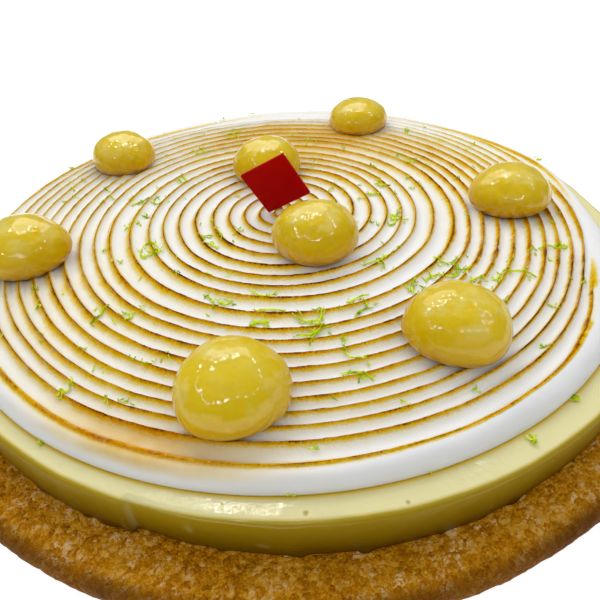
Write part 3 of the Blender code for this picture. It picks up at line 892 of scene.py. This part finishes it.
def build_drop(number, x, y, width, height, material):
    """One flattened drop of curd with soft dimples, wrinkles and folds."""
    half = 0.5 * width
    bottom = CREST_HEIGHT - DROP_SINK
    widest = bottom + DROP_WIDEST_AT * height
    lower = DROP_RINGS // 3
    upper = DROP_RINGS - lower
    outline = [(DROP_BASE_SHARE * half, bottom)]
    for step in range(1, lower):
        turn = 0.5 * math.pi * step / lower
        reach = DROP_BASE_SHARE + (1 - DROP_BASE_SHARE) * math.sin(turn)
        outline.append((reach * half, widest - (widest - bottom) * math.cos(turn)))
    for step in range(upper):
        turn = 0.5 * math.pi * step / upper
        outline.append((half * math.cos(turn) ** 0.94, widest + (bottom + height - widest) * math.sin(turn)))
    radii, heights, angles = turned_grid(outline, DROP_SPOKES)
    radii = radii * (1 + 0.025 * np.sin(2 * angles + number) + 0.02 * np.sin(3 * angles + 2.3 * number))
    points = ring_points(radii, heights, (x, y))
    outward = points - (x, y, widest)
    outward = outward / np.linalg.norm(outward, axis=1)[:, None]
    level = (points[:, 2] - bottom) / height
    dents = 0.00034 * noise_at(points, 0.0062, 50 + number) + 0.00016 * noise_at(points, 0.0026, 60 + number)
    patch = smooth_step(0.15, 0.6, noise_at(points, 0.0055, 70 + number))
    wrinkle = 0.00005 * patch * noise_at(points * (1, 1, 0.6), 0.0007, 80 + number)
    points = points + outward * ((dents + wrinkle) * smooth_step(0.02, 0.3, level))[:, None]
    shape = radii.shape
    radii = np.hypot(points[:, 0] - x, points[:, 1] - y).reshape(shape)
    return lathe(f"lemon_curd_{number}", radii, points[:, 2].reshape(shape), (x, y), material,
                 {"height": level.reshape(shape)}, (f"curd_drop_{number}",))


def build_plaque(material):
    """The thin square plaque that stands on one corner, with softened edges."""
    shape = bmesh.new()
    bmesh.ops.create_cube(shape, size=1.0)
    bmesh.ops.scale(shape, vec=(PLAQUE_SIDE, PLAQUE_THICKNESS, PLAQUE_SIDE), verts=shape.verts)
    bmesh.ops.bevel(shape, geom=shape.edges[:], offset=0.00022, segments=3, profile=0.5, affect='EDGES')
    bmesh.ops.translate(shape, vec=(0.5 * PLAQUE_SIDE, 0.0, 0.5 * PLAQUE_SIDE), verts=shape.verts)
    pose = (Matrix.Translation((*PLAQUE_FOOT, CREST_HEIGHT - PLAQUE_SINK))
            @ Matrix.Rotation(PLAQUE_YAW, 4, 'Z')
            @ Matrix.Rotation(PLAQUE_LEAN, 4, 'X')
            @ Matrix.Rotation(math.radians(-45) + PLAQUE_ROLL, 4, 'Y'))
    bmesh.ops.transform(shape, matrix=pose, verts=shape.verts)
    points = [tuple(vertex.co) for vertex in shape.verts]
    faces = [[vertex.index for vertex in face.verts] for face in shape.faces]
    shape.free()
    piece = mesh_object("red_square", points, faces, material, nodes=("plaque",))
    piece.data.set_sharp_from_angle(angle=math.radians(40))
    return piece


def nearest_crest(place):
    """The point of the spiral's crest that lies nearest on the same spoke."""
    offset = place - SPIRAL_CENTRE
    turn = (math.atan2(offset[1], offset[0]) / FULL_TURN) % 1.0
    length = math.hypot(*offset)
    ridge = round(length / RIDGE_PITCH - ARMS * turn - SPIRAL_PHASE)
    radius = RIDGE_PITCH * (ridge + ARMS * turn + SPIRAL_PHASE)
    return SPIRAL_CENTRE + offset / length * radius


def is_clear(place, reach):
    """Whether a shred of this reach stays clear of the drops, the plaque and the rim."""
    for x, y, width, _ in DROPS:
        if math.dist(place, (x / 1000, y / 1000)) < 0.5 * width / 1000 + reach + SHRED_CLEARANCE:
            return False
    if math.dist(place, PLAQUE_FOOT) < 0.5 * PLAQUE_SIDE + reach:
        return False
    return math.dist(place, SPIRAL_CENTRE) < RIM_RADIUS - SHRED_CLEARANCE


def shred_layout():
    """Place, heading, length and bend of every fused shred, drawn as the solids draw them."""
    draw = random.Random(SHRED_SEED)
    placed = []
    for angle, radius, count in CLUSTERS:
        middle = SPIRAL_CENTRE + towards(math.radians(angle)) * radius / 1000
        for _ in range(count):
            spread = np.array((draw.uniform(-1, 1), draw.uniform(-1, 1))) * CLUSTER_SPREAD
            heading = draw.uniform(0, FULL_TURN)
            length = draw.uniform(*SHRED_LENGTHS)
            bend = draw.uniform(0.5, 1.6)
            place = nearest_crest(middle + spread)
            apart = all(math.dist(place, other[0]) > 0.5 * SHRED_WIDTH for other in placed)
            if apart and is_clear(place, 0.5 * length):
                placed.append((place, heading, length, bend))
    return placed


def add_ribbon(points, faces, path, width, thickness, twist):
    """A thin ribbon along a path, with a flat section that twists."""
    start = len(points)
    steps = len(path)
    for step, here in enumerate(path):
        ahead = path[min(step + 1, steps - 1)] - path[max(step - 1, 0)]
        along = ahead / (np.linalg.norm(ahead) + 1e-9)
        side = np.cross(along, (0.0, 0.0, 1.0))
        side = side / (np.linalg.norm(side) + 1e-9)
        up = np.cross(side, along)
        turn = twist * (step / (steps - 1) - 0.5)
        across = (math.cos(turn) * side + math.sin(turn) * up) * 0.5 * width
        over = (math.cos(turn) * up - math.sin(turn) * side) * 0.5 * thickness
        taper = 0.35 + 0.65 * math.sin(math.pi * (step + 0.5) / steps) ** 0.5
        for a, b in ((-1, -1), (1, -1), (1, 1), (-1, 1)):
            points.append(here + (across * a + over * b) * taper)
    faces.append([start, start + 1, start + 2, start + 3])
    last = start + 4 * (steps - 1)
    faces.append([last + 3, last + 2, last + 1, last])
    for step in range(steps - 1):
        for corner in range(4):
            here = start + 4 * step + corner
            beside = start + 4 * step + (corner + 1) % 4
            faces.append([here, here + 4, beside + 4, beside])


def lie_on_top(flat_path, lift, drape):
    """Heights for a shred's path over the ridges: near the crests where it bridges, lower where it sags."""
    sunk = below_crest(flat_path - SPIRAL_CENTRE)
    padded = np.pad(sunk, 2, mode="edge")
    eased = sum(padded[shift:shift + len(sunk)] for shift in range(5)) / 5
    return CREST_HEIGHT - 0.0003 - drape * np.minimum(eased, sunk + 0.0002) + lift


def add_curl(points, faces, draw, middle, length, width, lift, level=None):
    """One fine curled shred that lies on the ridges around this place, or at this level."""
    share = np.linspace(-0.5, 0.5, CURL_POINTS)
    turned = draw.uniform(0, FULL_TURN) + draw.uniform(-CURL_BEND, CURL_BEND) * share
    stride = np.stack((np.cos(turned), np.sin(turned)), axis=1) * length / CURL_POINTS
    flat = middle + np.cumsum(stride, axis=0) - stride.sum(axis=0) / 2
    wave = draw.uniform(0, 0.0009) * (2 * share) ** 2 + draw.uniform(0, 0.0004)
    heights = lie_on_top(flat, lift + wave, 0.92) if level is None else level + lift + wave
    add_ribbon(points, faces, np.column_stack((flat, heights)), width, CURL_THICKNESS, draw.uniform(1, 7))


def scattered_near(draw, middle, spread):
    return middle + np.array((draw.gauss(0, spread), draw.gauss(0, spread)))


def build_zest(material):
    """The lime zest: fluffy tufts of short curls where the solids have their shreds, and a scatter."""
    draw = random.Random(ZEST_SEED)
    points = []
    faces = []
    share = np.linspace(-0.5, 0.5, SHRED_POINTS)
    for place, heading, length, bend in shred_layout():
        turned = heading + bend * share
        path = place + np.stack((np.cos(turned), np.sin(turned)), axis=1) * (length * share)[:, None]
        heights = lie_on_top(path, 0.00035, 0.8)
        add_ribbon(points, faces, np.column_stack((path, heights)), 0.00060, 0.0003, draw.uniform(3, 8))
        for _ in range(CURLS_PER_SHRED):
            middle = scattered_near(draw, path[draw.randrange(SHRED_POINTS)], CURL_SPREAD)
            curl_length = draw.uniform(*CURL_LENGTHS)
            add_curl(points, faces, draw, middle, curl_length, draw.uniform(0.0003, 0.0006), 0.00025)
    scattered = 0
    while scattered < SCATTERED_SHREDS:
        angle = draw.uniform(0, FULL_TURN)
        radius = SCATTER_RADIUS * math.sqrt(draw.uniform(0.02, 0.92))
        middle = SPIRAL_CENTRE + radius * towards(angle)
        if is_clear(middle, 0.001):
            for _ in range(draw.randrange(1, 4)):
                near = scattered_near(draw, middle, 0.0006)
                curl_length = draw.uniform(*CURL_LENGTHS)
                add_curl(points, faces, draw, near, curl_length, draw.uniform(0.0003, 0.0005), 0.0002)
            scattered += 1
    for angle, radius, count in LEDGE_TUFTS:
        middle = radius / 1000 * towards(math.radians(angle))
        for _ in range(count):
            near = scattered_near(draw, middle, 0.0005)
            add_curl(points, faces, draw, near, draw.uniform(0.0012, 0.0030), 0.0005, 0.0002, CREAM_TOP)
    return mesh_object("lime_zest_shreds", points, faces, material)


def add_area_light(name, place, target, size, power):
    lamp = bpy.data.lights.new(name, 'AREA')
    lamp.shape = 'RECTANGLE'
    lamp.size, lamp.size_y = size
    lamp.energy = power
    light = add_object(name, lamp)
    light.location = place
    light.rotation_euler = (Vector(target) - Vector(place)).to_track_quat('-Z', 'Y').to_euler()


def build_floor():
    """A plain pale floor."""
    mesh = bpy.data.meshes.new("floor")
    mesh.from_pydata([(-3, -3, 0), (3, -3, 0), (3, 3, 0), (-3, 3, 0)], [], [(0, 1, 2, 3)])
    floor = add_object("floor", mesh)
    floor.location.z = -0.0002
    shader = Shader("pale_floor")
    shader.set(Base_Color=(0.34, 0.34, 0.345, 1.0), Roughness=0.8, Specular_IOR_Level=0.1)
    shader.set(Emission_Color=(1.0, 1.0, 1.0, 1.0), Emission_Strength=0.86)
    mesh.materials.append(shader.material)


def build_lights():
    """A world that is brighter overhead, two soft lights and a ring of small ones."""
    world = bpy.data.worlds.new("studio")
    bpy.context.scene.world = world
    world.use_nodes = True
    nodes = Nodes(world.node_tree)
    background = nodes.tree.nodes["Background"]
    place = nodes.node("ShaderNodeTexCoord")["Generated"]
    up = nodes.node("ShaderNodeSeparateXYZ", {"Vector": place})["Z"]
    range_sockets = {"Value": up, "From Max": 0.9, "To Min": HORIZON_GLOW, "To Max": OVERHEAD_GLOW}
    sky = nodes.node("ShaderNodeMapRange", range_sockets)["Result"]
    ray = nodes.node("ShaderNodeLightPath")
    mirrored = nodes.node("ShaderNodeMix", {"Factor": ray["Is Glossy Ray"], "A": sky, "B": MIRRORED_GLOW})
    seen_sockets = {"Factor": ray["Is Camera Ray"], "A": mirrored["Result"], "B": SEEN_GLOW}
    nodes.join(nodes.node("ShaderNodeMix", seen_sockets)["Result"], background.inputs["Strength"])
    nodes.join((1.0, 1.0, 1.0, 1.0), background.inputs["Color"])
    add_area_light("softbox", *SOFTBOX)
    add_area_light("strip", *STRIP)
    for lamp in range(LAMPS):
        turn = FULL_TURN * lamp / LAMPS
        place = (LAMP_RING[0] * math.cos(turn), LAMP_RING[1] * math.sin(turn) + LAMP_RING_SHIFT, LAMP_HEIGHT)
        add_area_light(f"lamp_{lamp}", place, (0.0, 0.0, 0.0), LAMP_SIZE, LAMP_POWER)


def build_camera():
    """The photograph's view, from its perspective: near, wide, looking down at about 40 degrees."""
    data = bpy.data.cameras.new("photo_camera")
    data.sensor_width = SENSOR_WIDTH
    data.lens = FOCAL_PIXELS / PHOTO_WIDTH * SENSOR_WIDTH
    data.clip_start = 0.01
    data.clip_end = 20.0
    camera = add_object("photo_camera", data)
    camera.matrix_world = (Matrix.Translation(CAMERA_PLACE)
                           @ Matrix.Rotation(math.radians(90 - CAMERA_LOOKS_DOWN), 4, 'X')
                           @ Matrix.Rotation(math.radians(CAMERA_ROLL), 4, 'Z'))
    bpy.context.scene.camera = camera


build_camera()
build_floor()
build_lights()
build_crust(crust_material())
build_cream(cream_material())
build_meringue(meringue_material())
curd = curd_material()
for number, (x, y, width, height) in enumerate(DROPS, 1):
    build_drop(number, x / 1000, y / 1000, width / 1000, height / 1000, curd)
build_plaque(plaque_material())
build_zest(zest_material())
bpy.context.scene.view_settings.view_transform = 'Standard'
